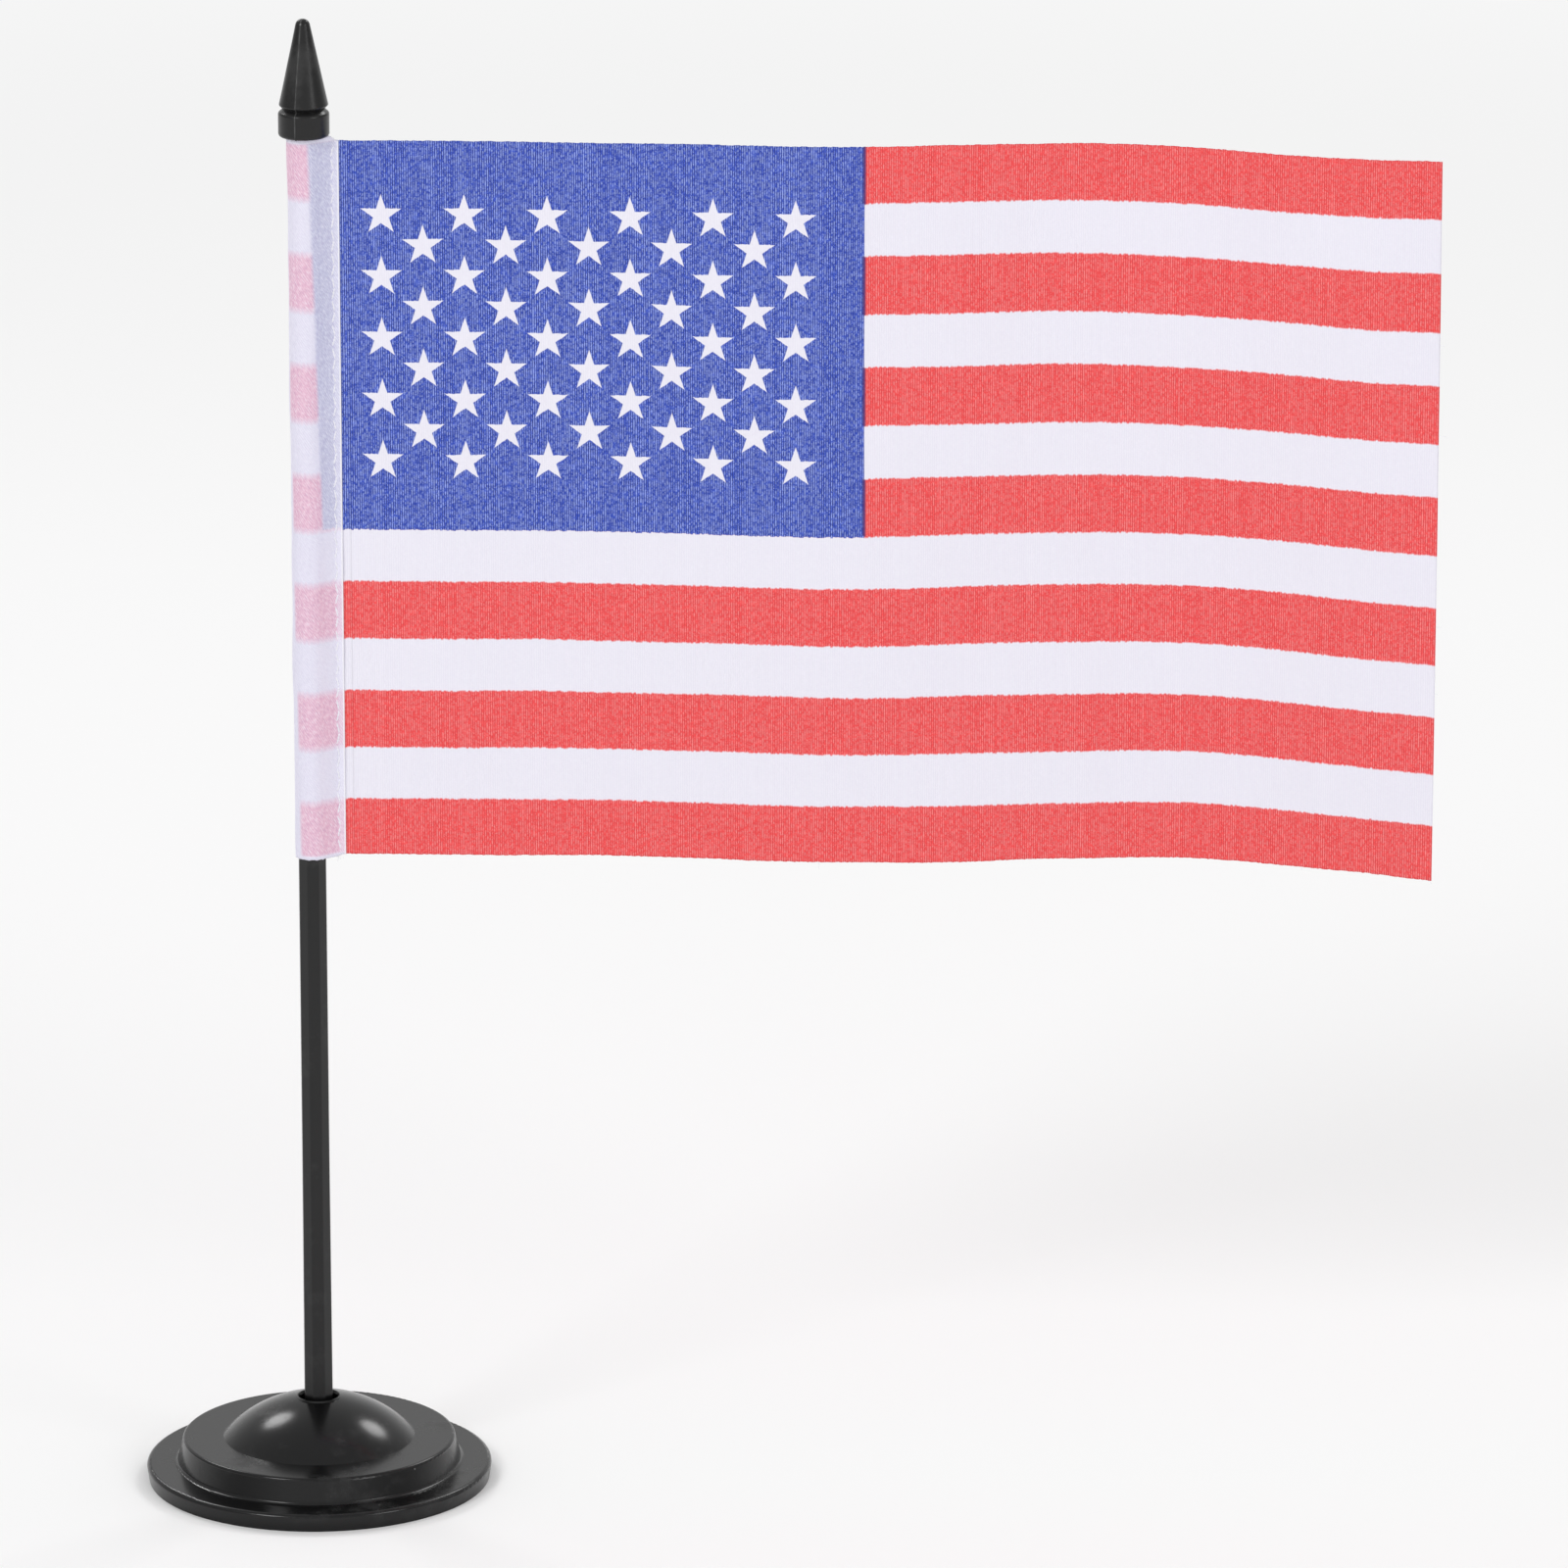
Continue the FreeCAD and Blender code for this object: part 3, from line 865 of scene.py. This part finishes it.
def tube(line, radius, sides, taper=False):
    """Points and faces of a closed tube round a line."""
    line = np.asarray(line, float)
    ahead = np.gradient(line, axis=0)
    ahead /= np.linalg.norm(ahead, axis=1)[:, None]
    helper = np.array([0.31, 0.95, 0.07])
    side = np.cross(ahead, helper)
    side /= np.linalg.norm(side, axis=1)[:, None]
    other = np.cross(ahead, side)
    turns = np.arange(sides) * 2.0 * math.pi / sides
    count = len(line)
    thin = np.ones(count)
    if taper:
        thin = np.clip(np.minimum(np.arange(count), np.arange(count)[::-1]) / 1.6 + 0.45, 0.0, 1.0)
    ring = side[:, None, :] * np.cos(turns)[None, :, None] + other[:, None, :] * np.sin(turns)[None, :, None]
    points = (line[:, None, :] + radius * thin[:, None, None] * ring).reshape(-1, 3)
    faces = []
    for step in range(count - 1):
        for turn in range(sides):
            after = (turn + 1) % sides
            first = step * sides
            faces.append((first + turn, first + after, first + sides + after, first + sides + turn))
    faces.append(tuple(range(sides - 1, -1, -1)))
    last = (count - 1) * sides
    faces.append(tuple(range(last, last + sides)))
    return points, faces


def joined_tubes(name, lines, radius, sides, material, taper=False):
    """Many tubes as one object."""
    points, faces = [], []
    for line in lines:
        more, quads = tube(line, radius, sides, taper)
        offset = sum(len(block) for block in points)
        points.append(more)
        faces += [tuple(offset + corner for corner in quad) for quad in quads]
    return mesh_object(name, np.concatenate(points), faces, [material])


def sleeve_stitches(sizes, colours):
    """The seam's two rows of twisted stitches: leaning on the front, straighter on the back."""
    rng = random.Random(21)
    count = int(HOIST / sizes.stitch_pitch)
    start = FLAG_BOTTOM + 0.5 * (HOIST - (count - 1) * sizes.stitch_pitch)
    ply = 0.29 * sizes.thread
    front_y = STITCH_LOW.y + 0.5 * sizes.thread
    back_y = 0.5 * sizes.cloth + 0.42 * sizes.thread
    lines = []
    for row_y, sign, lean_mm in ((front_y, -1.0, FRONT_LEAN), (back_y, 1.0, BACK_LEAN)):
        for number in range(count):
            z = start + number * sizes.stitch_pitch + rng.uniform(-0.06, 0.06) * MM
            lean = lean_mm * MM * (1.0 if number % 2 else -1.0) * rng.uniform(0.8, 1.2)
            share = np.linspace(0.0, 1.0, 11)
            half = 0.47 * sizes.stitch_pitch
            arch = np.sin(math.pi * share)
            core = np.stack([
                STITCH_X + lean * (2.0 * share - 1.0) + 0.06 * MM * arch,
                row_y + sign * (0.35 * arch - 0.35) * sizes.thread,
                z + half * (2.0 * share - 1.0),
            ], axis=1)
            for strand in (0.0, math.pi):
                twist = 2.0 * math.pi * 1.6 * share + strand
                offset = np.stack([np.cos(twist), np.sin(twist), 0.0 * twist], axis=1) * 0.8 * ply
                lines.append(core + offset)
    return joined_tubes("sleeve_stitches", lines, ply, 6, spun_thread(colours), taper=True)


def loose_threads(places, colours):
    """A few fine ends of yarn that stand out of the cut edges."""
    rng = random.Random(5)
    rows, columns, _ = places.shape
    # Rows and columns of the cloth's grid: at both ends, down the fly and along the bottom
    starts = [(0, 3), (0, 5), (rows - 1, 4), (0, columns - 2), (rows - 1, columns - 3)]
    starts += [(rng.randrange(2, rows - 2), columns - 1) for _ in range(5)]
    starts += [(0, rng.randrange(80, columns - 20)) for _ in range(3)]
    lines = []
    for row, column in starts:
        root = places[row, column]
        outward = np.array([
            1.0 if column >= columns - 3 else rng.uniform(-0.5, 0.5),
            rng.uniform(-0.4, 0.1),
            0.0 if 0 < row < rows - 1 else (1.0 if row else -1.0),
        ])
        outward /= np.linalg.norm(outward)
        size = rng.uniform(0.7, 1.9) * MM
        curl = np.array([rng.uniform(-1, 1), rng.uniform(-1, 0.2), rng.uniform(-1, 0.3)])
        share = np.linspace(0.0, 1.0, 9)[:, None]
        lines.append(root + outward * size * share + curl * 0.35 * size * share ** 2)
    return joined_tubes("loose_yarn_ends", lines, 0.035 * MM, 5, spun_thread(colours), taper=True)


# ---------------------------------------------------------------------------------------------
# Operators
# ---------------------------------------------------------------------------------------------

def dress(name, material):
    """Gives a CAD piece its one material."""
    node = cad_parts[name]
    node.data.materials.clear()
    node.data.materials.append(material)


class DESKFLAG_OT_base(bpy.types.Operator):
    """Gives the base its glossy black plastic."""
    bl_idname = "deskflag.base"
    bl_label = "Base"

    def execute(self, context):
        black = tuple(context.scene.flag_colours.base)
        dress("base", moulded_plastic(
            "glossy_black_plastic", black, gloss=0.16, shine=0.35, grain_mm=0.9, scuff=0.9))
        return {"FINISHED"}


class DESKFLAG_OT_pole(bpy.types.Operator):
    """Gives the pole its satin black plastic."""
    bl_idname = "deskflag.pole"
    bl_label = "Pole"

    def execute(self, context):
        black = tuple(context.scene.flag_colours.pole)
        dress("pole", moulded_plastic(
            "satin_black_plastic", black, gloss=0.26, shine=0.38, grain_mm=0.35, scuff=1.0, parting_highlight=True))
        return {"FINISHED"}


class DESKFLAG_OT_cloth(bpy.types.Operator):
    """Makes the printed cloth with its sleeve round the pole."""
    bl_idname = "deskflag.cloth"
    bl_label = "Flag cloth"

    def execute(self, context):
        sizes = context.scene.flag_sizes
        cloth = flag_cloth(sizes, context.scene.flag_colours)
        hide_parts("flag_sleeve", "flag_panel")
        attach(cloth, "flag")
        return {"FINISHED"}


class DESKFLAG_OT_stitches(bpy.types.Operator):
    bl_idname = "deskflag.stitches"
    bl_label = "Sleeve stitches"

    def execute(self, context):
        sizes = context.scene.flag_sizes
        colours = context.scene.flag_colours
        stitches = sleeve_stitches(sizes, colours)
        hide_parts("sleeve_stitching")
        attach(stitches, "flag")
        ends = loose_threads(flag_surface(sizes)[0], colours)
        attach(ends, "flag")
        return {"FINISHED"}


def softbox(name, place, target, width, power):
    """A soft round light that faces the stand."""
    light = bpy.data.lights.new(name, "AREA")
    light.shape = "DISK"
    light.size = width
    light.energy = power
    made = bpy.data.objects.new(name, light)
    made.location = place
    made.rotation_euler = (Vector(target) - Vector(place)).to_track_quat("-Z", "Y").to_euler()
    bpy.context.scene.collection.objects.link(made)


class DESKFLAG_OT_stage(bpy.types.Operator):
    """Makes the camera, the floor and the lights."""
    bl_idname = "deskflag.stage"
    bl_label = "Stage"

    def execute(self, context):
        scene = context.scene
        stage = scene.flag_stage
        low, high = CAD_BOX
        rise = stage.elevation
        back = Vector((0.0, -math.cos(rise), math.sin(rise)))
        middle = Vector(((low.x + high.x) / 2, 0.0, (high.z + low.y * math.tan(rise)) / 2))
        camera = bpy.data.objects.new("camera", bpy.data.cameras.new("camera"))
        camera.data.lens = camera.data.sensor_width * stage.distance / stage.view
        camera.location = middle + back * stage.distance
        camera.rotation_euler = (-back).to_track_quat("-Z", "Y").to_euler()
        scene.collection.objects.link(camera)
        scene.camera = camera
        wide = stage.floor
        corners = [(-wide, -wide, 0.0), (wide, -wide, 0.0), (wide, wide, 0.0), (-wide, wide, 0.0)]
        floor = mesh_object("floor", corners, [(0, 1, 2, 3)], [pale_floor(scene.flag_colours, stage)])
        scene.world = pale_studio(stage)
        scene.view_settings.view_transform = "Standard"
        for name, place, width, power in SOFTBOXES:
            softbox(name, place, middle, width, power)
        return {"FINISHED"}


class DESKFLAG_PT_panel(bpy.types.Panel):
    """Lists the pieces of the desk flag stand."""
    bl_idname = "DESKFLAG_PT_panel"
    bl_label = "Desk flag stand"
    bl_space_type = "VIEW_3D"
    bl_region_type = "UI"
    bl_category = "Desk flag"

    def draw(self, context):
        layout = self.layout
        for group in (context.scene.flag_sizes, context.scene.flag_colours, context.scene.flag_stage):
            box = layout.box()
            for name in group.__annotations__:
                box.prop(group, name)
        for operator in OPERATORS:
            layout.operator(operator.bl_idname)


OPERATORS = (
    DESKFLAG_OT_stage,
    DESKFLAG_OT_base,
    DESKFLAG_OT_pole,
    DESKFLAG_OT_cloth,
    DESKFLAG_OT_stitches,
)
CLASSES = (FlagSizes, FlagColours, StageSizes, *OPERATORS, DESKFLAG_PT_panel)


def register():
    """Adds the settings, the operators and the panel."""
    for item in CLASSES:
        bpy.utils.register_class(item)
    bpy.types.Scene.flag_sizes = PointerProperty(type=FlagSizes)
    bpy.types.Scene.flag_colours = PointerProperty(type=FlagColours)
    bpy.types.Scene.flag_stage = PointerProperty(type=StageSizes)


def unregister():
    """Takes away what register added."""
    del bpy.types.Scene.flag_sizes
    del bpy.types.Scene.flag_colours
    del bpy.types.Scene.flag_stage
    for item in reversed(CLASSES):
        bpy.utils.unregister_class(item)


def main():
    """Builds the whole stand."""
    register()
    bpy.ops.deskflag.stage()
    bpy.ops.deskflag.base()
    bpy.ops.deskflag.pole()
    bpy.ops.deskflag.cloth()
    bpy.ops.deskflag.stitches()
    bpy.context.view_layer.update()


if __name__ == "__main__":
    main()
